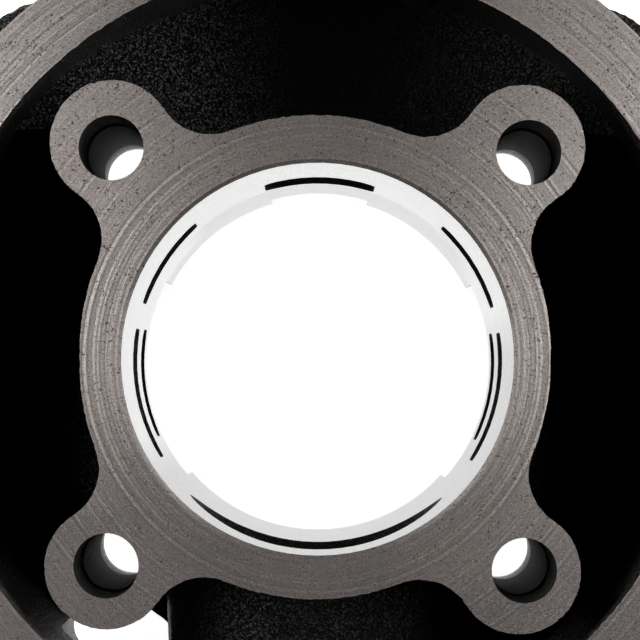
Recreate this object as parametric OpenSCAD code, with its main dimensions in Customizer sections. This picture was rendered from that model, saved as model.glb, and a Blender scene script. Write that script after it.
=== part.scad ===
// Liquid-cooled two-stroke engine cylinder, cast in iron as one piece.
// The base gasket face is z = 0, the bore is on the Z axis and the exhaust leaves along -Y.
// All sizes are in millimetres and all angles in degrees, counted from +X towards +Y.

/* [Bore and height] */
// Diameter of the bore
bore_d = 47; // [46:0.1:48]
// Height of the head face above the base face
deck_h = 69; // [67:0.5:73]
// Reach of the skirt below the base face
skirt_len = 16; // [12:0.5:20]
// Wall of the skirt and of the bore below the ports
skirt_wall = 2.9; // [2.5:0.1:3.2]
// Chamfer at the top of the bore
bore_chamfer = 0.45; // [0.2:0.05:0.8]
// Chamfer on the outside of the skirt end
skirt_chamfer = 0.8; // [0.4:0.1:1.4]

/* [Head face] */
// Width of the bore wall seen at the head face
island_d = 56.3; // [56:0.1:57.4]
// Width of the water jacket at the head face
jacket_d = 92.6; // [92:0.1:93.6]
// Outer diameter of the machined ring that the head sits on
ring_d = 109.2; // [107:0.2:113]
// Height of the machined rim of that ring
ring_h = 9; // [6:0.5:12]
// Chamfer on the outer edge of the ring
ring_chamfer = 0.3; // [0.2:0.05:0.6]
// Sideways shift of the jacket core in the casting
core_shift_x = -0.3; // [-0.4:0.05:0.4]
// Rearward shift of the jacket core in the casting
core_shift_y = 0.25; // [-0.4:0.05:0.4]
// Distance by which the two halves of the jacket core stand apart along Y
core_gap = 1.6; // [0.8:0.1:2]

/* [Studs] */
// Distance between neighbouring stud holes
stud_pitch = 50; // [49.5:0.1:51]
// Diameter of the stud holes at the head face
stud_hole_d = 7.8; // [7.6:0.1:8]
// Depth of that upper part of the stud holes
stud_hole_h = 16.5; // [10:0.5:24]
// Diameter of the stud holes in their middle
stud_guide_d = 7.4; // [7.2:0.1:7.5]
// Diameter of the stud holes at the base, drilled from below
stud_relief_d = 8.2; // [8:0.1:8.6]
// Depth of the holes drilled from below
stud_relief_h = 15; // [12:0.5:22]
// Distance between neighbouring stud bosses, across the core
boss_pitch = 49.3; // [49:0.1:50]
// Diameter of the boss round each stud hole
boss_d = 14.8; // [14:0.1:15.6]
// Radius that blends a boss into the bore wall
boss_blend_r = 6.6; // [5:0.2:8]

/* [Body] */
// Outer radius of the cast wall under the ring
drum_r = 53.2; // [52.8:0.1:53.8]
// Radius by which the cast wall narrows towards the base
drum_draft = 0.5; // [0:0.1:0.8]
// Side of the base flange, which is a rounded square
flange_w = 97; // [95:0.5:101]
// Corner radius of the base flange
flange_corner_r = 13; // [10:0.5:16]
// Thickness of the base flange
flange_t = 12; // [10:0.5:14]

/* [Water jacket] */
// Height of the jacket floor above the base face
jacket_floor_z = 14; // [13:0.5:18]
// Radius between the jacket floor and its outer wall
jacket_floor_r = 9; // [6:0.5:10]
// Height of the rear shelf over the boost duct
shelf_z = 41; // [40.5:0.5:44]
// Radius of the hollow across the rear shelf
shelf_dip_r = 46; // [42:1:60]
// Height of the rear shelf's shoulders
shelf_top_z = 52; // [49:0.5:56]
// Distance from the bore axis to the front edge of the rear shelf
shelf_front_y = 28; // [26:0.5:30]
// Wall of the cast shells round the ducts
shell_t = 3.2; // [2.8:0.1:3.8]
// Direction of the coolant slot from the bore axis
coolant_angle = 235.5; // [234:0.5:236]
// Distance of the coolant slot from the bore axis
coolant_r = 45.7; // [45.2:0.1:46.2]
// Length of the coolant slot
coolant_len = 14.6; // [12:0.2:15]
// Width of the coolant slot
coolant_w = 9; // [8:0.2:9.6]
// Corner radius of the coolant slot
coolant_corner_r = 3.6; // [2.6:0.1:3.9]
// Height up to which the slot is cut into the jacket wall
coolant_top_z = 20; // [18:0.5:24]

/* [Exhaust] */
// Width of the exhaust port
exhaust_w = 32; // [30:0.2:32.4]
// Height of the exhaust port's upper edge above the base face
exhaust_top_z = 51.5; // [49:0.5:52.5]
// Height of the exhaust port's lower edge above the base face
exhaust_low_z = 27.8; // [27.4:0.2:29]
// Diameter of the round exhaust outlet
outlet_d = 28; // [26:0.5:29]
// Height of the outlet's axis above the base face
outlet_z = 34; // [33:0.5:35]
// Length of the round part of the outlet
outlet_len = 14; // [11:0.5:16]
// Distance from the bore axis to the exhaust flange face
outlet_y = 62; // [61:0.5:66]
// Wall of the exhaust duct in the jacket
exhaust_wall = 3.5; // [3.2:0.1:3.7]
// Thickness of the exhaust flange
outlet_flange_t = 8; // [7:0.5:9]
// Reach of the flange round the neck of the duct
outlet_flange_lip = 2; // [1.5:0.1:2.5]
// Distance between the two exhaust bolts
outlet_bolt_pitch = 46; // [45:0.5:50]
// Diameter of the tapped holes in the exhaust flange
outlet_bolt_d = 5; // [4:0.1:5.6]
// Depth of the tapped holes
outlet_bolt_depth = 13; // [10:0.5:15]
// Radius of the flange round each exhaust bolt
outlet_ear_r = 7.5; // [6.5:0.5:8]

/* [Transfer ports] */
// Width of each main transfer window
main_w = 16.8; // [15:0.2:17]
// Width of each rear transfer window
side_w = 12.2; // [11:0.2:12.4]
// Height of the upper edge of the transfer windows above the base face
transfer_top_z = 39.2; // [37.8:0.1:39.6]
// Height of the lower edge of the transfer windows above the base face
transfer_low_z = 27.8; // [27.4:0.1:29]
// Direction of the right main transfer, mirrored for the left one
main_angle = -11.4; // [-12:0.1:-11.2]
// Direction of the right rear transfer, mirrored for the left one
side_angle = 32.7; // [32.4:0.1:33]
// Outer radius of the transfer ducts
duct_r = 32.6; // [32:0.1:33]
// Width of the boost window
boost_w = 14.2; // [13:0.2:15]
// Height of the boost window's upper edge above the base face
boost_top_z = 37.4; // [36:0.1:37.6]
// Height of the boost window's lower edge above the base face
boost_low_z = 21.8; // [21:0.1:24]
// Corner radius of the windows
window_corner_r = 1.8; // [1:0.1:2.4]
// Width of each lower window, just above the base
feed_w = 14.4; // [13:0.2:14.4]
// Height of the lower windows' upper edge above the base face
feed_top_z = 17.4; // [16:0.1:18]
// Height of the lower windows' lower edge above the base face
feed_low_z = 7.4; // [7:0.1:9]
// Direction of the right lower window, mirrored for the left one
feed_angle = -7.8; // [-9:0.1:-7.8]

/* [Skirt cut-outs] */
// Height of the side cut-outs' upper edge above the base face
side_cut_z = 2; // [0.5:0.1:4]
// Direction at which the front tongue of the skirt ends on the right
front_tongue_angle = -41.4; // [-46:0.2:-36]
// Direction at which the rear tongues of the skirt begin on the right
rear_tongue_angle = 27.6; // [24:0.2:32]
// Half of the angle of the notch at the rear
rear_notch_half = 16.4; // [12:0.2:20]
// Distance of the rear notch's upper edge below the base face
rear_notch_drop = 3.8; // [2:0.1:6]

/* [Rear recess] */
// Width of the recess under the rear shelf
recess_w = 54; // [48:1:58]
// Height of the recess's ceiling above the base face
recess_top_z = 34; // [31:0.5:35]
// Distance from the bore axis to the bottom of the recess
recess_y = 38.5; // [38:0.5:40]
// Corner radius of the recess
recess_corner_r = 7; // [5:0.5:9]
// Radius of the boost duct's rib in the recess
boost_rib_r = 8.5; // [7.5:0.5:9.5]
// Depth by which the rib's axis lies behind the bottom of the recess
boost_rib_sink = 1.5; // [1:0.5:2.5]

/* [Hidden] */

iron = [0.16, 0.16, 0.17];
over = 1;
far = 200;
slab = 0.1;
join = 0.01;
flat = 0.05;
bore_r = bore_d / 2;
liner_r = bore_r + skirt_wall;
duct_in_r = liner_r + 0.5;
duct_corner_r = 1.4;
skirt_cut_r = duct_in_r + duct_corner_r + 0.3;
island_r = island_d / 2;
jacket_r = jacket_d / 2;
ring_r = ring_d / 2;
boss_r = boss_d / 2;
wall_foot_r = drum_r - drum_draft;
exhaust_z = (exhaust_top_z + exhaust_low_z) / 2;
exhaust_h = exhaust_top_z - exhaust_low_z;
port_round_r = exhaust_h / 2 - flat;
outlet_r = outlet_d / 2;
neck_r = outlet_r + exhaust_wall;
outlet_step = 0.6;
loft_step = 0.1;
duct_start_y = bore_r * 0.74;
loft_start_y = liner_r + over;
loft_end_y = outlet_y - outlet_len;
main_half = asin(main_w / bore_d);
side_half = asin(side_w / bore_d);
boost_half = asin(boost_w / bore_d);
window_depth = duct_in_r - bore_r + over / 2;
duct_margin = 1.2;
sweep_gap = 0.6;
shell_margin = 7;
shell_corner_r = 3;
shell_roof_r = 9;
shell_roof_gap = 0.6;
stud_guard = 2.2;
$fn = 96;

// Point at a radius and an angle from the bore axis
function polar(r, a) = [r * cos(a), r * sin(a)];

// Point where circles of radius ra round a and rb round b cross, on the side given by 1 or -1
function crossing(a, ra, b, rb, side) =
    let (gap = b - a, d = norm(gap), along = gap / d, across = [-along.y, along.x])
    let (t = (ra * ra - rb * rb + d * d) / (2 * d))
    a + t * along + side * sqrt(ra * ra - t * t) * across;

// What is left outside a circle between two directions, used to round a corner.
// The circle is a hair too large, so that it crosses the sides of the corner instead of touching them.
module corner_cut(centre, a1, a2, r) {
    d1 = polar(1, a1);
    d2 = polar(1, a2);
    translate(centre) difference() {
        polygon([[0, 0], 3 * r * d1, 4 * r * (d1 + d2), 3 * r * d2]);
        circle(r + join);
    }
}

// Rectangle about the origin with rounded corners
module rounded_rect(w, h, r) {
    difference() {
        square([w, h], center = true);
        for (q = [0:3])
            corner_cut(
                [(w / 2 - r) * (q == 0 || q == 3 ? 1 : -1), (h / 2 - r) * (q < 2 ? 1 : -1)],
                90 * q, 90 * q + 90, r
            );
    }
}

// Ring sector about the +X direction with rounded corners
module rounded_sector(r_in, r_out, half, r) {
    phi_out = half - asin(r / (r_out - r));
    phi_in = half - asin(r / (r_in + r));
    difference() {
        intersection() {
            circle(r_out);
            polygon([[0, 0], polar(2 * r_out, -half), polar(2 * r_out, half)]);
        }
        circle(r_in);
        for (side = [-1, 1]) {
            corner_cut(polar(r_out - r, side * phi_out), side * (half + 90), side * phi_out, r);
            corner_cut(polar(r_in + r, side * phi_in), side * (half + 90), side * phi_in + 180, r);
        }
    }
}

// The four places round the bore where the studs are
module at_studs() {
    for (a = [45:90:315])
        translate(polar(stud_pitch / sqrt(2), a))
            children();
}

// One half of the jacket core, the rear one for 1 and the front one for -1
module core_half(side) {
    translate([core_shift_x, core_shift_y + side * core_gap / 2])
        children();
}

// Blend between the bore wall and one boss, on one side of it
module boss_blend(boss, side) {
    c = crossing([0, 0], island_r + boss_blend_r, boss, boss_r + boss_blend_r, side);
    touch_island = c * island_r / (island_r + boss_blend_r);
    touch_boss = boss + (c - boss) * boss_r / (boss_r + boss_blend_r);
    difference() {
        polygon([[0, 0], touch_island, c, touch_boss, boss]);
        translate(c) circle(boss_blend_r);
    }
}

// Outline of the bore wall with its four stud bosses
module island_outline() {
    for (half = [-1, 1])
        core_half(half) {
            circle(island_r);
            for (a = [45, 135]) {
                boss = polar(boss_pitch / sqrt(2), half * a);
                translate(boss) circle(boss_r);
                for (side = [-1, 1])
                    boss_blend(boss, side);
            }
        }
}

// Rounded square of the base flange, widened where the round wall stands on it
module flange_outline() {
    rounded_rect(flange_w, flange_w, flange_corner_r);
    circle(wall_foot_r);
}

// Outer skin of the round body, from the base face to the head face
module drum() {
    rotate_extrude()
        polygon([
            [0, 0],
            [wall_foot_r, 0],
            [wall_foot_r, flange_t],
            [drum_r, deck_h - ring_h - (ring_r - drum_r)],
            [ring_r, deck_h - ring_h],
            [ring_r, deck_h - ring_chamfer],
            [ring_r - ring_chamfer, deck_h],
            [0, deck_h]
        ]);
}

// Skirt that reaches down into the crankcase
module skirt() {
    rotate_extrude()
        polygon([
            [0, -skirt_len],
            [liner_r - skirt_chamfer, -skirt_len],
            [liner_r, skirt_chamfer - skirt_len],
            [liner_r, over],
            [0, over]
        ]);
}

// One cut-out of the skirt about the +X direction, up to a height above the base face
module skirt_cut(half, top_z) {
    translate([0, 0, -skirt_len - over])
        linear_extrude(skirt_len + over + top_z)
            intersection() {
                circle(skirt_cut_r);
                polygon([[0, 0], polar(3 * liner_r, -half), polar(4 * liner_r, 0), polar(3 * liner_r, half)]);
            }
}

// Cut-outs that leave three tongues on the skirt
module skirt_cuts() {
    cut_half = (rear_tongue_angle - front_tongue_angle) / 2;
    cut_mid = (rear_tongue_angle + front_tongue_angle) / 2;
    for (mid = [cut_mid, 180 - cut_mid])
        rotate(mid)
            skirt_cut(cut_half, side_cut_z);
    rotate(90)
        skirt_cut(rear_notch_half, -rear_notch_drop);
}

// Outline of the exhaust port, seen along the duct
module port_outline(grow) {
    rounded_rect(exhaust_w + 2 * grow, exhaust_h + 2 * grow, port_round_r + grow);
}

// Exhaust passage: oval at the bore, drawn down and round at the outlet
module exhaust_loft(grow, round_r, from_y, to_y) {
    $fn = 48;
    hull() {
        translate([0, -from_y, exhaust_z]) rotate([90, 0, 0]) linear_extrude(slab) port_outline(grow);
        translate([0, -to_y, outlet_z]) rotate([90, 0, 0]) cylinder(r = round_r, h = slab);
    }
}

// Solid round the exhaust passage, inside and outside the jacket
module exhaust_body() {
    exhaust_loft(exhaust_wall, neck_r + outlet_step, duct_start_y, loft_end_y);
    translate([0, -loft_end_y + over, outlet_z])
        rotate([90, 0, 0])
            cylinder(r = neck_r, h = outlet_len + over - outlet_flange_t / 2);
    translate([0, -outlet_y + outlet_flange_t, outlet_z])
        rotate([90, 0, 0])
            linear_extrude(outlet_flange_t)
                outlet_flange_outline();
}

// Flange with an ear on each side for a bolt
module outlet_flange_outline() {
    r = neck_r + outlet_flange_lip;
    ear = outlet_bolt_pitch / 2;
    slope = acos((r - outlet_ear_r) / ear);
    circle(r);
    for (side = [-1, 1])
        translate([side * ear, 0]) circle(outlet_ear_r);
    for (side = [0, 180])
        rotate(side)
            polygon([
                [0, 0],
                polar(r - join, -slope),
                [ear, 0] + polar(outlet_ear_r - join, -slope),
                [ear, 0],
                [ear, 0] + polar(outlet_ear_r - join, slope),
                polar(r - join, slope)
            ]);
}

// Exhaust passage and the tapped holes of its flange
module exhaust_void() {
    port_start_y = bore_r / 2;
    translate([0, -port_start_y, exhaust_z])
        rotate([90, 0, 0])
            linear_extrude(loft_start_y - port_start_y + slab)
                port_outline(0);
    exhaust_loft(loft_step, outlet_r - outlet_step, loft_start_y, loft_end_y);
    translate([0, -loft_end_y + over, outlet_z])
        rotate([90, 0, 0])
            cylinder(r = outlet_r, h = outlet_len + 2 * over);
    for (side = [-1, 1])
        translate([side * outlet_bolt_pitch / 2, -outlet_y + outlet_bolt_depth, outlet_z])
            rotate([90, 0, 0])
                cylinder(d = outlet_bolt_d, h = outlet_bolt_depth + over);
}

// Window through the bore wall, seen from the bore as a rounded rectangle
module window(mid, w, low_z, top_z) {
    rotate(mid)
        translate([bore_r - window_depth, 0, (low_z + top_z) / 2])
            rotate([90, 0, 90])
                linear_extrude(2 * window_depth)
                    rounded_rect(w, top_z - low_z, window_corner_r);
}

// Roof of a duct: it leads the flow from upright to inward
module roof_cut(roof_z, r_out) {
    sweep_r = r_out - bore_r + sweep_gap;
    rotate_extrude()
        difference() {
            translate([bore_r - over, roof_z - sweep_r]) square([r_out - bore_r + 3 * over, sweep_r + over]);
            translate([bore_r, roof_z - sweep_r]) circle(sweep_r);
            translate([0, roof_z - sweep_r - over]) square([bore_r, sweep_r + over]);
        }
}

// Upright duct from the base face to the height of its window
module duct(mid, half, r_out, roof_z) {
    difference() {
        rotate(mid)
            translate([0, 0, -over])
                linear_extrude(roof_z + over)
                    rounded_sector(duct_in_r, r_out, half + duct_margin, duct_corner_r);
        roof_cut(roof_z, r_out);
        at_studs()
            translate([0, 0, -2 * over])
                cylinder(d = stud_relief_d + 2 * stud_guard, h = roof_z + 4 * over);
    }
}

// Cast shell on the right that stands round both of its transfer ducts in the jacket
module duct_shell() {
    low = main_angle - main_half - shell_margin;
    high = side_angle + side_half + shell_margin;
    shell_r = duct_r + shell_t;
    top_z = transfer_top_z + shell_t;
    roof_centre = [shell_r + shell_roof_gap - shell_roof_r, top_z - shell_roof_r];
    intersection() {
        rotate((low + high) / 2)
            linear_extrude(top_z + over)
                rounded_sector(bore_r + over, shell_r, (high - low) / 2, shell_corner_r);
        rotate_extrude()
            difference() {
                square([shell_r + over, top_z]);
                corner_cut(roof_centre, 0, 90, shell_roof_r);
            }
    }
}

// All ducts and windows of the transfers, the boost port and the lower windows
module transfer_voids() {
    for (mid = [main_angle, 180 - main_angle]) {
        duct(mid, main_half, duct_r, transfer_top_z);
        window(mid, main_w, transfer_low_z, transfer_top_z);
    }
    for (mid = [side_angle, 180 - side_angle]) {
        duct(mid, side_half, duct_r, transfer_top_z);
        window(mid, side_w, transfer_low_z, transfer_top_z);
    }
    duct(90, boost_half, duct_r, boost_top_z);
    window(90, boost_w, boost_low_z, boost_top_z);
    for (mid = [feed_angle, 180 - feed_angle])
        window(mid, feed_w, feed_low_z, feed_top_z);
}

// Shelf across the rear of the jacket, over the boost duct
module rear_shelf() {
    intersection() {
        translate([0, far / 2 + shelf_front_y, 0])
            rotate([90, 0, 0])
                linear_extrude(far / 2)
                    difference() {
                        translate([-jacket_r, 0]) square([2 * jacket_r, shelf_top_z]);
                        translate([0, shelf_z + shelf_dip_r]) circle(shelf_dip_r);
                    }
        cylinder(r = jacket_r + 2 * over, h = deck_h);
    }
}

// Space of the water jacket between the outer wall and all that stands in it
module jacket_void() {
    floor_corner = [jacket_r - jacket_floor_r, jacket_floor_z + jacket_floor_r];
    difference() {
        for (half = [-1, 1])
            core_half(half)
                rotate_extrude()
                    difference() {
                        translate([0, jacket_floor_z]) square([jacket_r, deck_h - jacket_floor_z + over]);
                        corner_cut(floor_corner, 0, -90, jacket_floor_r);
                    }
        linear_extrude(deck_h + 2 * over) island_outline();
        duct_shell();
        mirror([1, 0, 0]) duct_shell();
        rear_shelf();
        exhaust_body();
    }
}

// Slot through which the coolant comes in from the crankcase
module coolant_slot() {
    rotate(coolant_angle)
        translate([coolant_r, 0, -over])
            linear_extrude(coolant_top_z + over)
                rounded_rect(coolant_w, coolant_len, coolant_corner_r);
}

// Recess in the rear wall, with the rib of the boost duct standing in it
module rear_recess() {
    difference() {
        translate([0, far / 2 + recess_y, (flange_t + recess_top_z) / 2])
            rotate([90, 0, 0])
                linear_extrude(far / 2)
                    rounded_rect(recess_w, recess_top_z - flange_t, recess_corner_r);
        translate([0, recess_y - boost_rib_sink, 0]) cylinder(r = boost_rib_r, h = deck_h);
    }
}

// Bore with the chamfer at its mouth
module bore() {
    translate([0, 0, -skirt_len - over])
        cylinder(r = bore_r, h = deck_h + skirt_len + 2 * over);
    translate([0, 0, deck_h - bore_chamfer])
        cylinder(r1 = bore_r, r2 = bore_r + bore_chamfer + over, h = bore_chamfer + over);
}

// Stud holes, a little wider at the head face and at the base than between
module stud_holes() {
    at_studs() {
        translate([0, 0, deck_h - stud_hole_h])
            cylinder(d = stud_hole_d, h = stud_hole_h + over);
        translate([0, 0, stud_relief_h - over])
            cylinder(d = stud_guide_d, h = deck_h - stud_relief_h);
        translate([0, 0, -over])
            cylinder(d = stud_relief_d, h = stud_relief_h + over);
    }
}

module cylinder_casting() {
    color(iron)
        difference() {
            union() {
                linear_extrude(flange_t) flange_outline();
                drum();
                skirt();
                exhaust_body();
            }
            jacket_void();
            bore();
            transfer_voids();
            exhaust_void();
            skirt_cuts();
            coolant_slot();
            rear_recess();
            stud_holes();
        }
}

cylinder_casting();
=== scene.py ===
import bpy
import math
from mathutils import Matrix, Vector


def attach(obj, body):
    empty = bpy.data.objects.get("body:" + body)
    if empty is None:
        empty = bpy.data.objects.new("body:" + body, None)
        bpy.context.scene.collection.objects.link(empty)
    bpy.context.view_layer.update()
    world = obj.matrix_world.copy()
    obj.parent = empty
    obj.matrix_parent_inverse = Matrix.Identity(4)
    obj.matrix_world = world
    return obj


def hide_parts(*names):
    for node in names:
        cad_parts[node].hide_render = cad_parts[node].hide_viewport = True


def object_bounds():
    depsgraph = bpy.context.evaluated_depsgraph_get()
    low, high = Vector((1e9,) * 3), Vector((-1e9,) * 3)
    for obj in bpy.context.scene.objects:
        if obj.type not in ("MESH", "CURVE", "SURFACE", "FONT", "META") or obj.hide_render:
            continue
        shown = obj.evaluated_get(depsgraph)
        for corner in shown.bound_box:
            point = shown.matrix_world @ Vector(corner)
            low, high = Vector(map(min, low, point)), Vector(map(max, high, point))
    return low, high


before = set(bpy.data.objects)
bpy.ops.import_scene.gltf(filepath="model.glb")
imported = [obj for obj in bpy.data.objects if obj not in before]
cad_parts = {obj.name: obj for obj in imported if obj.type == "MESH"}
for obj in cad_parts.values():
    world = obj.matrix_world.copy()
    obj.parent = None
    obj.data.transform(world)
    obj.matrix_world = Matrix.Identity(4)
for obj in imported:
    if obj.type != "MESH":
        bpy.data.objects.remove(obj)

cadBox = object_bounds()


def onlySelect(*pieces):
    bpy.ops.object.select_all(action="DESELECT")
    for piece in pieces:
        piece.select_set(True)
    bpy.context.view_layer.objects.active = pieces[0]


# Shared shader effects

def newGroup(name, inputs, outputs):
    group = bpy.data.node_groups.new(name, "ShaderNodeTree")
    for label, kind, value in inputs:
        socket = group.interface.new_socket(label, in_out="INPUT", socket_type=kind)
        socket.default_value = value
    for label, kind in outputs:
        group.interface.new_socket(label, in_out="OUTPUT", socket_type=kind)
    entry = group.nodes.new("NodeGroupInput")
    leave = group.nodes.new("NodeGroupOutput")
    return group, entry, leave


def addNode(tree, kind, **settings):
    node = tree.nodes.new(kind)
    for key, value in settings.items():
        if key in node.inputs:
            node.inputs[key].default_value = value
        else:
            setattr(node, key, value)
    return node


def mathNode(tree, operation, first, second=None, clamp=False):
    node = tree.nodes.new("ShaderNodeMath")
    node.operation = operation
    node.use_clamp = clamp
    for place, value in enumerate((first, second)):
        if value is None:
            continue
        if isinstance(value, (int, float)):
            node.inputs[place].default_value = value
        else:
            tree.links.new(value, node.inputs[place])
    return node.outputs[0]


# Turns the span of a value into another span, and stops at its ends
def rampNode(tree, source, low, high, lowValue=0.0, highValue=1.0):
    node = tree.nodes.new("ShaderNodeMapRange")
    node.inputs["From Min"].default_value = low
    node.inputs["From Max"].default_value = high
    node.inputs["To Min"].default_value = lowValue
    node.inputs["To Max"].default_value = highValue
    tree.links.new(source, node.inputs["Value"])
    return node.outputs[0]


def mixColour(tree, factor, first, second, blend="MIX"):
    node = tree.nodes.new("ShaderNodeMix")
    node.data_type = "RGBA"
    node.blend_type = blend
    # sockets 0, 6 and 7 are the factor and the two colours
    for socket, value in ((node.inputs[0], factor), (node.inputs[6], first), (node.inputs[7], second)):
        if isinstance(value, bpy.types.NodeSocket):
            tree.links.new(value, socket)
        elif isinstance(value, (int, float)):
            socket.default_value = value
        else:
            socket.default_value = (*value, 1.0)
    return node.outputs[2]


def splitPlace(tree, place):
    split = addNode(tree, "ShaderNodeSeparateXYZ")
    tree.links.new(place, split.inputs[0])
    return split.outputs


# Noise that changes along one value only
def lineNoise(tree, source):
    noise = addNode(tree, "ShaderNodeTexNoise", noise_dimensions="1D", Scale=1.0, Detail=3.0)
    tree.links.new(source, noise.inputs["W"])
    return noise.outputs[0]


def spotNoise(tree, place, **settings):
    noise = addNode(tree, "ShaderNodeTexNoise", **settings)
    tree.links.new(place, noise.inputs["Vector"])
    return noise.outputs[0]


# Scales are per metre, and spans are parts of a noise's range
latheMarks = {
    "lineScale": 2600.0,
    "lineSpan": (0.3, 0.7),
    "lineDepth": (0.80, 1.2),
    "poreScale": 3400.0,
    "patchScale": 420.0,
    "patchSpan": (0.35, 0.65),
    "poreLimit": (0.33, 0.43),
    "poreSharpness": 9.0,
    "cloudScale": 70.0,
    "grainScale": 5200.0,
}


# Turning marks: rings of fine grooves round the bore axis, with pores and grain in the iron
def latheGroup():
    marks = latheMarks
    group, entry, leave = newGroup(
        "turnedIron",
        [("Vector", "NodeSocketVector", (0, 0, 0)), ("Pitch", "NodeSocketFloat", 0.0002)],
        [("Groove", "NodeSocketFloat"), ("Lines", "NodeSocketFloat"), ("Pores", "NodeSocketFloat"),
         ("Cloud", "NodeSocketFloat"), ("Grain", "NodeSocketFloat")],
    )
    links = group.links
    place = entry.outputs["Vector"]
    parts = splitPlace(group, place)
    across = mathNode(group, "POWER", parts[0], 2)
    along = mathNode(group, "POWER", parts[1], 2)
    radius = mathNode(group, "SQRT", mathNode(group, "ADD", across, along))
    turns = mathNode(group, "DIVIDE", radius, entry.outputs["Pitch"])
    groove = mathNode(group, "PINGPONG", turns, 0.5)
    # each turn is cut a little deeper or shallower than the next
    lines = lineNoise(group, mathNode(group, "MULTIPLY", radius, marks["lineScale"]))
    links.new(lines, leave.inputs["Lines"])
    depth = rampNode(group, lines, *marks["lineSpan"], *marks["lineDepth"])
    links.new(mathNode(group, "MULTIPLY", groove, depth), leave.inputs["Groove"])
    # some patches of the iron have more pores than others
    pores = spotNoise(group, place, Scale=marks["poreScale"], Detail=1.0, Roughness=0.5)
    patch = spotNoise(group, place, Scale=marks["patchScale"], Detail=2.0)
    limit = rampNode(group, patch, *marks["patchSpan"], *marks["poreLimit"])
    below = mathNode(group, "SUBTRACT", limit, pores)
    pores = mathNode(group, "MULTIPLY", below, marks["poreSharpness"], clamp=True)
    links.new(pores, leave.inputs["Pores"])
    cloud = spotNoise(group, place, Scale=marks["cloudScale"], Detail=4.0, Roughness=0.6)
    links.new(cloud, leave.inputs["Cloud"])
    grain = spotNoise(group, place, Scale=marks["grainScale"], Detail=1.0, Roughness=0.7)
    links.new(grain, leave.inputs["Grain"])
    return group


# Scales count per grain, and dips and depths are parts of the bump's depth
sandGrains = {
    "fineScale": 1.7,
    "coarseScale": 0.22,
    "grainDip": 0.9,
    "coarseDepth": 1.2,
    "proudDip": 0.25,
    "glintSpan": (0.38, 0.55),
}


# Sand-cast skin: gentle lumps closely set with fine grains
def castSkinGroup():
    group, entry, leave = newGroup(
        "sandCastSkin",
        [("Vector", "NodeSocketVector", (0, 0, 0)), ("Grain Size", "NodeSocketFloat", 0.00034)],
        [("Height", "NodeSocketFloat"), ("Specks", "NodeSocketFloat")],
    )
    links = group.links
    scaled = addNode(group, "ShaderNodeVectorMath", operation="SCALE")
    links.new(entry.outputs["Vector"], scaled.inputs[0])
    links.new(mathNode(group, "DIVIDE", 1.0, entry.outputs["Grain Size"]), scaled.inputs["Scale"])
    place = scaled.outputs[0]
    grains = addNode(group, "ShaderNodeTexVoronoi", Scale=1.0, feature="F1")
    links.new(place, grains.inputs["Vector"])
    gap = grains.outputs["Distance"]
    fine = spotNoise(group, place, Scale=sandGrains["fineScale"], Detail=2.0, Roughness=0.6)
    coarse = spotNoise(group, place, Scale=sandGrains["coarseScale"], Detail=2.0)
    dips = mathNode(group, "MULTIPLY", gap, sandGrains["grainDip"])
    swells = mathNode(group, "MULTIPLY", coarse, sandGrains["coarseDepth"])
    height = mathNode(group, "ADD", mathNode(group, "SUBTRACT", fine, dips), swells)
    links.new(height, leave.inputs["Height"])
    # the grains that stand proudest give the specks for the painted glints
    proud = mathNode(group, "SUBTRACT", fine, mathNode(group, "MULTIPLY", gap, sandGrains["proudDip"]))
    links.new(rampNode(group, proud, *sandGrains["glintSpan"]), leave.inputs["Specks"])
    return group


latheEffect = latheGroup()
skinEffect = castSkinGroup()
print("stage: shader groups")


# Materials

def newMaterial(name, colour, metallic, roughness):
    material = bpy.data.materials.new(name)
    material.use_nodes = True
    tree = material.node_tree
    shader = tree.nodes["Principled BSDF"]
    shader.inputs["Base Color"].default_value = (*colour, 1.0)
    shader.inputs["Metallic"].default_value = metallic
    shader.inputs["Roughness"].default_value = roughness
    coords = addNode(tree, "ShaderNodeTexCoord")
    return material, tree, shader, coords.outputs["Object"]


def placeGroup(tree, group, vector, label, value):
    node = tree.nodes.new("ShaderNodeGroup")
    node.node_tree = group
    tree.links.new(vector, node.inputs["Vector"])
    node.inputs[label].default_value = value
    return node.outputs


def addBump(tree, shader, height, strength, distance):
    bump = addNode(tree, "ShaderNodeBump", Strength=strength, Distance=distance)
    tree.links.new(height, bump.inputs["Height"])
    tree.links.new(bump.outputs[0], shader.inputs["Normal"])


# Spans are parts of a noise's range, pitch and groove depth are metres, the pore depth is a part of it
machined = {
    "colour": (0.287, 0.262, 0.250),
    "stain": (0.196, 0.164, 0.148),
    "stainSpan": (0.35, 0.7),
    "stainShare": 0.5,
    "pore": (0.070, 0.044, 0.034),
    "metallic": 0.9,
    "pitch": 0.00013,
    "grooveDepth": 0.00003,
    "poreDepth": 0.25,
    "smoothest": 0.31,
    "roughest": 0.40,
    "roughSpan": (0.3, 0.7),
    "poreRoughness": 0.35,
    "grainContrast": 0.42,
    "lineContrast": 0.08,
    "contrastSpan": (0.25, 0.75),
}


def contrastNode(tree, source, spread):
    return rampNode(tree, source, *machined["contrastSpan"], 1.0 - spread, 1.0 + spread)


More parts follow.
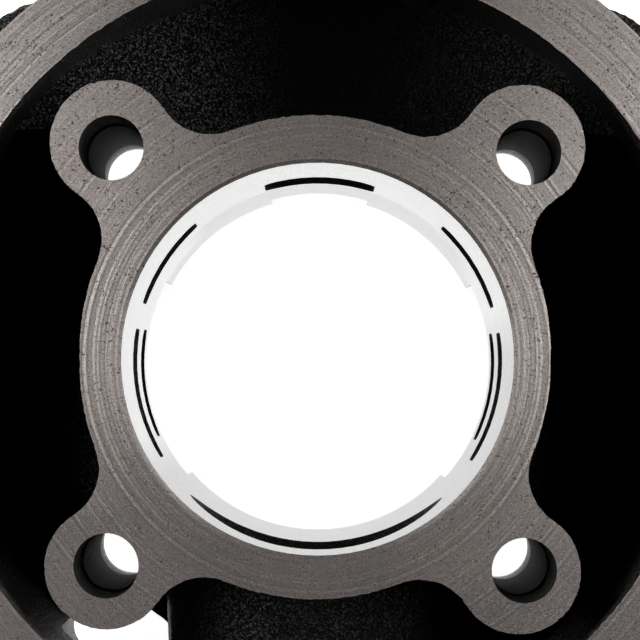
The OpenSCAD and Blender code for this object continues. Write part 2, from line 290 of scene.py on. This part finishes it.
def machinedMaterial():
    material, tree, shader, place = newMaterial(
        "turnedCastIron", machined["colour"], machined["metallic"], machined["smoothest"])
    turned = placeGroup(tree, latheEffect, place, "Pitch", machined["pitch"])
    stained = rampNode(tree, turned["Cloud"], *machined["stainSpan"])
    stained = mathNode(tree, "MULTIPLY", stained, machined["stainShare"])
    base = mixColour(tree, stained, machined["colour"], machined["stain"])
    grain = contrastNode(tree, turned["Grain"], machined["grainContrast"])
    lines = contrastNode(tree, turned["Lines"], machined["lineContrast"])
    grain = mathNode(tree, "MULTIPLY", grain, lines)
    grey = addNode(tree, "ShaderNodeCombineColor")
    for channel in grey.inputs[:3]:
        tree.links.new(grain, channel)
    base = mixColour(tree, 1.0, base, grey.outputs[0], "MULTIPLY")
    base = mixColour(tree, turned["Pores"], base, machined["pore"])
    tree.links.new(base, shader.inputs["Base Color"])
    ends = (machined["smoothest"], machined["roughest"])
    rough = rampNode(tree, turned["Cloud"], *machined["roughSpan"], *ends)
    poreRough = mathNode(tree, "MULTIPLY", turned["Pores"], machined["poreRoughness"])
    tree.links.new(mathNode(tree, "ADD", rough, poreRough), shader.inputs["Roughness"])
    pits = mathNode(tree, "MULTIPLY", turned["Pores"], machined["poreDepth"])
    height = mathNode(tree, "SUBTRACT", turned["Groove"], pits)
    addBump(tree, shader, height, 1.0, machined["grooveDepth"])
    return material


# Sides are degrees round the bore from the right of the picture, heights and pitches are in metres; the
# front and low colours are painted shade on the wall
honed = {
    "colour": (0.80, 0.80, 0.80),
    "frontShadeColour": (0.47, 0.465, 0.465),
    "frontSide": 290.0,
    "frontSpan": (0.06, 0.30),
    "lowShadeColour": (0.58, 0.58, 0.58),
    "lowSide": 84.0,
    "lowSpan": (0.55, 0.70),
    "lowTop": 0.020,
    "lowFade": 0.002,
    "skirtSpan": (0.001, -0.003),
    "smoothest": 0.17,
    "roughest": 0.30,
    "hatchPitch": 0.0006,
    "hatchSlope": 0.8,
    "hatchSpan": (0.7, 1.3),
    "hatchStrength": 0.3,
    "hatchDepth": 0.00002,
}


# How far a place on the wall lies towards one side of the bore, from -1 to 1
def towardsSide(tree, parts, side):
    turn = math.radians(side)
    x = mathNode(tree, "MULTIPLY", parts[0], math.cos(turn) / casting["boreRadius"])
    y = mathNode(tree, "MULTIPLY", parts[1], math.sin(turn) / casting["boreRadius"])
    return mathNode(tree, "ADD", x, y)


def honedMaterial():
    material, tree, shader, place = newMaterial("honedBore", honed["colour"], 1.0, honed["smoothest"])
    parts = splitPlace(tree, place)
    height = parts[2]
    # painted shade: the wall is painted darker low down at the rear and all down the skirt
    under = rampNode(tree, height, honed["lowTop"] + honed["lowFade"], honed["lowTop"] - honed["lowFade"])
    rear = rampNode(tree, towardsSide(tree, parts, honed["lowSide"]), *honed["lowSpan"])
    skirt = rampNode(tree, height, *honed["skirtSpan"])
    low = mathNode(tree, "MAXIMUM", mathNode(tree, "MULTIPLY", under, rear), skirt)
    # painted shade: the front of the wall is painted darker, a painted dim reflection
    front = rampNode(tree, towardsSide(tree, parts, honed["frontSide"]), *honed["frontSpan"])
    base = mixColour(tree, low, honed["colour"], honed["lowShadeColour"])
    base = mixColour(tree, front, base, honed["frontShadeColour"])
    tree.links.new(base, shader.inputs["Base Color"])
    angle = mathNode(tree, "ARCTAN2", parts[1], parts[0])
    arc = mathNode(tree, "MULTIPLY", angle, casting["boreRadius"])
    scratches = []
    for slope in (honed["hatchSlope"], -honed["hatchSlope"]):    # the two directions of the cross-hatch
        along = mathNode(tree, "ADD", height, mathNode(tree, "MULTIPLY", arc, slope))
        scratches.append(lineNoise(tree, mathNode(tree, "DIVIDE", along, honed["hatchPitch"])))
    hatch = mathNode(tree, "ADD", *scratches)
    addBump(tree, shader, hatch, honed["hatchStrength"], honed["hatchDepth"])
    rough = rampNode(tree, hatch, *honed["hatchSpan"], honed["smoothest"], honed["roughest"])
    tree.links.new(rough, shader.inputs["Roughness"])
    return material


# Spans are places across the casting, and shares are how strongly the grains there are painted grey as
# glints
painted = {
    "colour": (0.0012, 0.0012, 0.0013),
    "glintGrey": (0.150, 0.147, 0.144),
    "paintRoughness": 0.36,
    "speckRoughness": 0.28,
    "specular": 0.20,
    "grainSize": 0.00042,
    "grainDepth": 0.00070,
    "grainStrength": 0.9,
    "leftSpan": (-0.004, -0.017),
    "leftShare": (0.15, 1.0),
    "frontSpan": (-0.012, -0.028),
    "frontShare": (1.0, 3.6),
    "rightSpan": (0.008, 0.022),
    "rightShare": (0.0, 0.25),
    "ductColour": (0.030, 0.029, 0.028),
    "ductShare": 0.4,
}


# Painted glints: grains painted grey most of all on the left, above all at its front, some on the right, few
# between, where the lamps light the skin
def skinMaterial(name, colour, wholeShare):
    material, tree, shader, place = newMaterial(name, colour, 0.0, painted["paintRoughness"])
    shader.inputs["Specular IOR Level"].default_value = painted["specular"]
    skin = placeGroup(tree, skinEffect, place, "Grain Size", painted["grainSize"])
    parts = splitPlace(tree, place)
    left = rampNode(tree, parts[0], *painted["leftSpan"], *painted["leftShare"])
    front = rampNode(tree, parts[1], *painted["frontSpan"], *painted["frontShare"])
    left = mathNode(tree, "MULTIPLY", left, front)
    right = rampNode(tree, parts[0], *painted["rightSpan"], *painted["rightShare"])
    glintShare = mathNode(tree, "MULTIPLY", mathNode(tree, "ADD", left, right), wholeShare)
    specks = mathNode(tree, "MULTIPLY", skin["Specks"], glintShare)
    # painted highlight: the glinting grains are painted grey
    tree.links.new(mixColour(tree, specks, colour, painted["glintGrey"]), shader.inputs["Base Color"])
    rough = rampNode(tree, skin["Specks"], 0.0, 1.0, painted["paintRoughness"], painted["speckRoughness"])
    tree.links.new(rough, shader.inputs["Roughness"])
    addBump(tree, shader, skin["Height"], painted["grainStrength"], painted["grainDepth"])
    return material


# Ends are heights above the base face, and a fade is half the height over which a colour changes
drilled = {
    "upper": (0.020, 0.020, 0.019),
    "upperEnd": 0.0525,
    "upperFade": 0.0006,
    "ledgeHighlight": (0.14, 0.135, 0.13),
    "ledgeSpan": (0.00030, 0.00012),
    "middle": (0.060, 0.0585, 0.057),
    "frontLeftShade": 1.0,
    "frontLeftShadeSpan": (0.0, -0.010),
    "lower": (0.76, 0.75, 0.74),
    "lowerEnd": 0.0150,
    "lowerFade": 0.0002,
    "stepShadeEnd": 0.0100,
    "stepShadeBelow": 0.0012,
    "stepShadeAbove": 0.0004,
    "fleckAndShade": (0.004, 0.004, 0.004),
    "ringScale": 1400.0,
    "ringSpan": (0.35, 0.62),
    "spotScale": 2200.0,
    "spotSpan": (0.35, 0.6),
    "roughness": 0.6,
    "specular": 0.03,
    "markStrength": 0.6,
    "markDepth": 0.00010,
}


# The stud holes: black with overspray at the top, greyer below, with painted shade just under the last step,
# painted shade all down the front left hole and a painted highlight on the top ledge
def drilledMaterial():
    material, tree, shader, place = newMaterial("drilledIron", drilled["middle"], 0.0, drilled["roughness"])
    shader.inputs["Specular IOR Level"].default_value = drilled["specular"]
    parts = splitPlace(tree, place)
    height = parts[2]
    top, low, shadeLine = drilled["upperEnd"], drilled["lowerEnd"], drilled["stepShadeEnd"]
    above = rampNode(tree, height, top - drilled["upperFade"], top + drilled["upperFade"])
    beneath = rampNode(tree, height, low + drilled["lowerFade"], low - drilled["lowerFade"])
    # painted shade: a dark band is painted on the wall just below the last step, where its corner is shaded
    stepShade = rampNode(tree, height, shadeLine - drilled["stepShadeBelow"], shadeLine + drilled["stepShadeAbove"])
    # the hole at the front left is painted as dark as its top all the way down to its last step, as painted
    # shade
    leftSide = rampNode(tree, parts[0], *drilled["frontLeftShadeSpan"])
    frontSide = rampNode(tree, parts[1], *drilled["frontLeftShadeSpan"])
    frontLeftShaded = mathNode(tree, "MULTIPLY", leftSide, frontSide)
    frontLeftShaded = mathNode(tree, "MULTIPLY", frontLeftShaded, drilled["frontLeftShade"])
    base = mixColour(tree, frontLeftShaded, drilled["middle"], drilled["upper"])
    base = mixColour(tree, above, base, drilled["upper"])
    base = mixColour(tree, beneath, base, mixColour(tree, stepShade, drilled["lower"], drilled["fleckAndShade"]))
    rings = lineNoise(tree, mathNode(tree, "MULTIPLY", height, drilled["ringScale"]))
    spots = spotNoise(tree, place, Scale=drilled["spotScale"], Detail=2.0)
    dark = rampNode(tree, rings, *drilled["ringSpan"])
    dark = mathNode(tree, "MULTIPLY", dark, rampNode(tree, spots, *drilled["spotSpan"]))
    base = mixColour(tree, dark, base, drilled["fleckAndShade"])
    # painted highlight: the narrow ledge at the top step is painted lighter than the wall round it
    away = mathNode(tree, "ABSOLUTE", mathNode(tree, "SUBTRACT", height, top))
    base = mixColour(tree, rampNode(tree, away, *drilled["ledgeSpan"]), base, drilled["ledgeHighlight"])
    tree.links.new(base, shader.inputs["Base Color"])
    marks = mathNode(tree, "ADD", rings, spots)
    addBump(tree, shader, marks, drilled["markStrength"], drilled["markDepth"])
    return material


# The casting: sizes in metres from the bore axis and the base face, angles in degrees
casting = {
    "boreRadius": 0.0235,
    "deckHeight": 0.069,
    "chamferDrop": 0.0008,
    "chamferRadius": 0.0245,
    "ringHeight": 0.009,
    "ringEdge": 0.0538,
    "skirtRadius": 0.0264,
    "skirtEndTop": -0.0148,
    "studHalfPitch": 0.025,
    "studHoleRadius": 0.0041,
    "outletHeight": 0.034,
    "outletFaceY": -0.062,
    "outletRadius": 0.014,
    "outletDepth": 0.0155,
    "tapOffset": 0.023,
    "tapRadius": 0.0025,
    "ductReach": 0.033,
    "ductTop": 0.040,
    "slotAngle": 235.5,
    "slotInner": 0.0390,
    "slotHalfWidth": 0.0085,
    "slotTop": 0.0430,
    "slotWallTop": 0.0225,
    "slotCornerRadius": 0.003,
    "slotCornerSteps": 6,
    "pimplePlace": (0.0132, 0.0328),
    "pimpleRadius": 0.0021,
    "pimpleHeight": 0.0007,
    "sliceStep": 0.002,
    "smoothFactor": 0.5,
    "smoothRounds": 3,
    "smoothAngle": 35.0,
    "lumpHeight": 0.00045,
    "lumpSize": 0.007,
    "edgeStep": 0.0007,
    "edgeMerge": 0.35,
    "edgeHalvings": 3,
    "edgeRagged": 0.00008,
    "edgeSeed": 7,
}

# Limits for telling points, edges and faces apart: metres, parts of a direction, and degrees for the last
nearness = {
    "plane": 0.0001,
    "bore": 0.00006,
    "skirt": 0.0004,
    "deck": 0.00002,
    "merge": 0.000002,
    "slice": 0.00001,
    "tall": 0.001,
    "flatTilt": 0.99,
    "upTilt": 0.5,
    "uprightTilt": 0.05,
    "sameTilt": 0.4,
}

# Cuts that open the coolant slot: from and to outwards, from and to sideways, from and to upwards
slotCuts = [
    (0.0399, 0.0490, -0.0025, 0.0058, -0.0010, 0.0245),
    (0.0430, 0.0501, -0.0072, 0.0058, 0.0150, 0.0420),
]

finishes = [
    machinedMaterial(),
    honedMaterial(),
    skinMaterial("blackCastSkin", painted["colour"], 1.0),
    drilledMaterial(),
    skinMaterial("ductSkin", painted["ductColour"], painted["ductShare"]),
]
turnedIron, honedWall, blackSkin, drilledWall, ductSkin = range(len(finishes))
print("stage: materials")


def byTheSlot(point):
    turn = math.radians(casting["slotAngle"])
    outwards = point.x * math.cos(turn) + point.y * math.sin(turn)
    sideways = point.y * math.cos(turn) - point.x * math.sin(turn)
    beside = outwards > casting["slotInner"] and abs(sideways) < casting["slotHalfWidth"]
    return beside and point.z < casting["slotTop"]


# A box with rounded upright edges, turned to the side that the slot is on
def makeSlotCutter(near, far, left, right, low, high):
    turn = math.radians(casting["slotAngle"])
    middle = Vector(((near + far) / 2, (left + right) / 2, (low + high) / 2))
    middle = Matrix.Rotation(turn, 4, "Z") @ middle
    bpy.ops.mesh.primitive_cube_add(size=1, location=middle, rotation=(0, 0, turn))
    cutter = bpy.context.object
    cutter.scale = (far - near, right - left, high - low)
    bpy.ops.object.transform_apply(location=True, rotation=True, scale=True)
    for edge in cutter.data.edges:
        first, second = (cutter.data.vertices[corner].co for corner in edge.vertices)
        edge.select = abs(first.z - second.z) > nearness["tall"]
    bpy.ops.object.mode_set(mode="EDIT")
    bpy.ops.mesh.select_mode(type="EDGE")
    bpy.ops.mesh.bevel(offset=casting["slotCornerRadius"], segments=casting["slotCornerSteps"])
    bpy.ops.object.mode_set(mode="OBJECT")
    return cutter


# The coolant slot runs up into the outer wall of the jacket, and its inner side lies a little further in
def openSlot(piece):
    for sizes in slotCuts:
        cutter = makeSlotCutter(*sizes)
        onlySelect(piece)
        bpy.ops.object.modifier_add(type="BOOLEAN")
        cut = piece.modifiers[-1]
        cut.operation = "DIFFERENCE"
        cut.solver = "EXACT"
        cut.object = cutter
        bpy.ops.object.modifier_apply(modifier=cut.name)
        bpy.data.objects.remove(cutter, do_unlink=True)


def isTurned(place, direction, radius, upright):
    near = nearness["plane"]
    deck = casting["deckHeight"]
    facingUp = direction.z > nearness["upTilt"]
    headFace = place.z > deck - casting["chamferDrop"] and (facingUp or radius < casting["chamferRadius"])
    ringSide = place.z > deck - casting["ringHeight"] and radius > casting["ringEdge"] and upright
    baseFace = abs(place.z) < near and direction.z < -nearness["flatTilt"]
    skirtSide = place.z < 0 and upright and abs(radius - casting["skirtRadius"]) < nearness["skirt"]
    skirtEnd = place.z < casting["skirtEndTop"]
    outletFace = place.y < casting["outletFaceY"] + near and direction.y < -nearness["flatTilt"]
    return headFace or ringSide or baseFace or skirtSide or skirtEnd or outletFace


def isStudHole(place):
    half = casting["studHalfPitch"]
    fromStud = math.hypot(abs(place.x) - half, abs(place.y) - half)
    return fromStud < casting["studHoleRadius"] + nearness["plane"]


# The outlet's bore and the two tapped holes beside it
def isOutletHole(place, direction):
    near = nearness["plane"]
    rise = place.z - casting["outletHeight"]
    fromOutlet = math.hypot(place.x, rise)
    fromTap = math.hypot(abs(place.x) - casting["tapOffset"], rise)
    nearHole = abs(fromOutlet - casting["outletRadius"]) < near or abs(fromTap - casting["tapRadius"]) < near
    inFront = place.y < casting["outletFaceY"] + casting["outletDepth"]
    return nearHole and inFront and abs(direction.y) < nearness["uprightTilt"]


def pickFinish(place, direction):
    radius = math.hypot(place.x, place.y)
    upright = abs(direction.z) < nearness["uprightTilt"]
    if isTurned(place, direction, radius, upright):
        return turnedIron
    if upright and abs(radius - casting["boreRadius"]) < nearness["bore"]:
        return honedWall
    if isStudHole(place):
        return drilledWall
    if radius < casting["ductReach"] and place.z < casting["ductTop"]:
        return ductSkin
    if place.z < casting["slotWallTop"] and byTheSlot(place) and upright:
        return ductSkin    # the slot's wall is bare grey
    if isOutletHole(place, direction):
        return drilledWall
    return blackSkin


# Picks the points that lie in the rough skin only, and leaves the slot's edges crisp
def pickSkinPoints(piece):
    bpy.ops.mesh.select_all(action="DESELECT")
    bpy.ops.object.mode_set(mode="OBJECT")
    shared = set()
    for face in piece.data.polygons:
        if face.material_index != blackSkin:
            shared.update(face.vertices)
    for vertex in piece.data.vertices:
        vertex.select = vertex.index not in shared and not byTheSlot(vertex.co)
    bpy.ops.object.mode_set(mode="EDIT")


# Cuts the rough skin into small faces, so that it can be rounded and made uneven
def sliceSkin(piece):
    bpy.ops.mesh.select_mode(type="FACE")
    piece.active_material_index = blackSkin
    step = casting["sliceStep"]
    for axis in range(3):
        normal = [0.0, 0.0, 0.0]
        normal[axis] = 1.0
        low, high = cadBox[0][axis], cadBox[1][axis]
        cuts = int((high - low) / step)
        for cut in range(cuts):
            place = [0.0, 0.0, 0.0]
            place[axis] = low + step * (cut + 0.5)
            bpy.ops.mesh.select_all(action="DESELECT")
            bpy.ops.object.material_slot_select()
            bpy.ops.mesh.bisect(plane_co=place, plane_no=normal, threshold=nearness["slice"])


def addLumps(piece):
    texture = bpy.data.textures.new("skinLumps", "CLOUDS")
    texture.noise_scale = casting["lumpSize"]
    texture.noise_depth = 1
    bpy.ops.object.modifier_add(type="DISPLACE")
    lumps = piece.modifiers[-1]
    lumps.texture = texture
    lumps.strength = casting["lumpHeight"]
    lumps.mid_level = 0.5
    lumps.vertex_group = "castSkin"
    bpy.ops.object.modifier_apply(modifier=lumps.name)


# Picks the edges between the head face and the rough skin that are longer than a given length
def pickOutline(piece, length):
    bpy.ops.mesh.select_all(action="DESELECT")
    bpy.ops.object.mode_set(mode="OBJECT")
    mesh = piece.data
    beside = {}
    for face in mesh.polygons:
        for key in face.edge_keys:
            beside.setdefault(key, set()).add(face.material_index)
    for edge in mesh.edges:
        first, second = (mesh.vertices[corner].co for corner in edge.vertices)
        top = min(first.z, second.z) > casting["deckHeight"] - nearness["deck"]
        if top and beside[edge.key] == {turnedIron, blackSkin} and (first - second).length > length:
            edge.select = True
    bpy.ops.object.mode_set(mode="EDIT")


# The machined face ends in a slightly uneven line where it meets the rough skin
def raggedEdges(piece):
    bpy.ops.mesh.select_mode(type="EDGE")
    pickOutline(piece, 0.0)
    bpy.ops.mesh.remove_doubles(threshold=casting["edgeStep"] * casting["edgeMerge"])
    for halving in range(casting["edgeHalvings"]):
        pickOutline(piece, casting["edgeStep"])
        bpy.ops.mesh.subdivide(number_cuts=1)
    bpy.ops.mesh.select_all(action="SELECT")
    bpy.ops.mesh.quads_convert_to_tris(quad_method="BEAUTY", ngon_method="BEAUTY")
    pickOutline(piece, 0.0)
    bpy.ops.transform.vertex_random(offset=casting["edgeRagged"], seed=casting["edgeSeed"])
    bpy.ops.transform.resize(value=(1, 1, 0), center_override=(0, 0, casting["deckHeight"]))


# A round pimple that the mould left on the floor of the jacket
def addPimple(piece):
    x, y = casting["pimplePlace"]
    radius = casting["pimpleRadius"]
    aboveAll = 0.1
    spot = piece.ray_cast((x, y, aboveAll), (0, 0, -1))[1]
    bpy.ops.mesh.primitive_uv_sphere_add(segments=32, ring_count=16, radius=radius, location=spot)
    pimple = bpy.context.object
    bpy.ops.transform.resize(value=(1, 1, casting["pimpleHeight"] / radius))
    bpy.ops.object.transform_apply(location=True, scale=True)
    bpy.ops.object.shade_smooth()
    pimple.data.materials.append(finishes[blackSkin])
    onlySelect(piece, pimple)
    bpy.ops.object.join()


def makeCasting():
    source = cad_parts["cylinder_casting"]
    piece = bpy.data.objects.new("cylinderCasting", source.data.copy())
    bpy.context.scene.collection.objects.link(piece)
    onlySelect(piece)
    bpy.ops.mesh.customdata_custom_splitnormals_clear()
    bpy.ops.object.mode_set(mode="EDIT")
    bpy.ops.mesh.select_all(action="SELECT")
    bpy.ops.mesh.remove_doubles(threshold=nearness["merge"])
    bpy.ops.object.mode_set(mode="OBJECT")
    openSlot(piece)
    bpy.ops.object.mode_set(mode="EDIT")
    bpy.ops.mesh.select_all(action="SELECT")
    bpy.ops.mesh.dissolve_limited(angle_limit=math.radians(nearness["sameTilt"]))
    bpy.ops.object.mode_set(mode="OBJECT")
    piece.data.materials.clear()
    for finish in finishes:
        piece.data.materials.append(finish)
    for face in piece.data.polygons:
        face.material_index = pickFinish(face.center, face.normal)
    bpy.ops.object.mode_set(mode="EDIT")
    sliceSkin(piece)
    print("stage: casting cut into", len(piece.data.polygons), "faces")

    bpy.ops.mesh.select_mode(type="VERT")
    pickSkinPoints(piece)
    bpy.ops.mesh.vertices_smooth(factor=casting["smoothFactor"], repeat=casting["smoothRounds"])
    piece.vertex_groups.new(name="castSkin")
    bpy.ops.object.vertex_group_assign()
    raggedEdges(piece)
    bpy.ops.object.mode_set(mode="OBJECT")
    addLumps(piece)
    addPimple(piece)
    onlySelect(piece)
    bpy.ops.object.shade_smooth_by_angle(angle=math.radians(casting["smoothAngle"]))
    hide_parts("cylinder_casting")
    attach(piece, "root")
    print("stage: casting,", len(piece.data.polygons), "faces")


makeCasting()


# The camera that took the picture, and the floor and walls round the casting
studio = {
    "lens": 215.5,
    "sensorWidth": 36.0,
    "clipStart": 0.01,
    "clipEnd": 20.0,
    "cameraPlace": (0.00012, -0.00347, 0.527),
    "cameraAim": (0.00024, 0.00466, 0.069),
    "cameraRoll": 0.65,
    "floorSize": 3.0,
    "floorColour": (0.86, 0.86, 0.86),
    "floorGlow": 0.88,
    "floorRough": 0.7,
    "horizonColour": (0.42, 0.42, 0.42),
    "ceilingColour": (0.012, 0.012, 0.012),
    "ceilingSpan": (0.12, 0.42),
}

# Softboxes: name, place, length along the bench, height and power
softboxes = [
    ("softboxLeft", (-0.62, 0.22, 0.66), 0.90, 0.35, 8.0),
    ("softboxRight", (0.62, 0.20, 0.66), 0.90, 0.35, 8.0),
]


def makeFloor():
    lowest = cadBox[0].z
    bpy.ops.mesh.primitive_plane_add(size=studio["floorSize"], location=(0, 0, lowest))
    floor = bpy.context.object
    floor.name = "paleFloor"
    bpy.ops.object.transform_apply(location=True)
    material = bpy.data.materials.new("palePaper")
    material.use_nodes = True
    shader = material.node_tree.nodes["Principled BSDF"]
    shader.inputs["Base Color"].default_value = (*studio["floorColour"], 1.0)
    shader.inputs["Roughness"].default_value = studio["floorRough"]
    shader.inputs["Emission Color"].default_value = (1.0, 1.0, 1.0, 1.0)
    shader.inputs["Emission Strength"].default_value = studio["floorGlow"]
    floor.data.materials.append(material)


def makeLights():
    for name, place, length, height, power in softboxes:
        bpy.ops.object.light_add(type="AREA")
        lamp = bpy.context.object
        lamp.name = name
        lamp.data.shape = "RECTANGLE"
        lamp.data.size = length
        lamp.data.size_y = height
        lamp.data.energy = power
        lamp.location = place
        aim = Vector((0, 0, casting["deckHeight"])) - lamp.location
        lamp.rotation_euler = aim.to_track_quat("-Z", "Y").to_euler()


# Bright walls under a dim ceiling
def makeRoom():
    bpy.context.scene.view_settings.view_transform = "Standard"
    world = bpy.data.worlds.new("paleRoom")
    bpy.context.scene.world = world
    world.use_nodes = True
    tree = world.node_tree
    coords = addNode(tree, "ShaderNodeTexCoord")
    parts = splitPlace(tree, coords.outputs["Generated"])
    rise = rampNode(tree, parts[2], *studio["ceilingSpan"])
    shade = mixColour(tree, rise, studio["horizonColour"], studio["ceilingColour"])
    tree.links.new(shade, tree.nodes["Background"].inputs["Color"])


def makeCamera():
    camera = bpy.data.objects.new("pictureCamera", bpy.data.cameras.new("pictureCamera"))
    bpy.context.scene.collection.objects.link(camera)
    camera.data.lens = studio["lens"]
    camera.data.sensor_width = studio["sensorWidth"]
    camera.data.clip_start = studio["clipStart"]
    camera.data.clip_end = studio["clipEnd"]
    place = Vector(studio["cameraPlace"])
    back = (place - Vector(studio["cameraAim"])).normalized()
    roll = math.radians(studio["cameraRoll"])
    up = Vector((-math.sin(roll), math.cos(roll), 0.0))
    up = (up - up.dot(back) * back).normalized()
    right = up.cross(back)
    camera.matrix_world = Matrix((
        (right.x, up.x, back.x, place.x),
        (right.y, up.y, back.y, place.y),
        (right.z, up.z, back.z, place.z),
        (0, 0, 0, 1),
    ))
    bpy.context.scene.camera = camera


makeFloor()
makeLights()
makeRoom()
makeCamera()
print("stage: floor, light and camera")
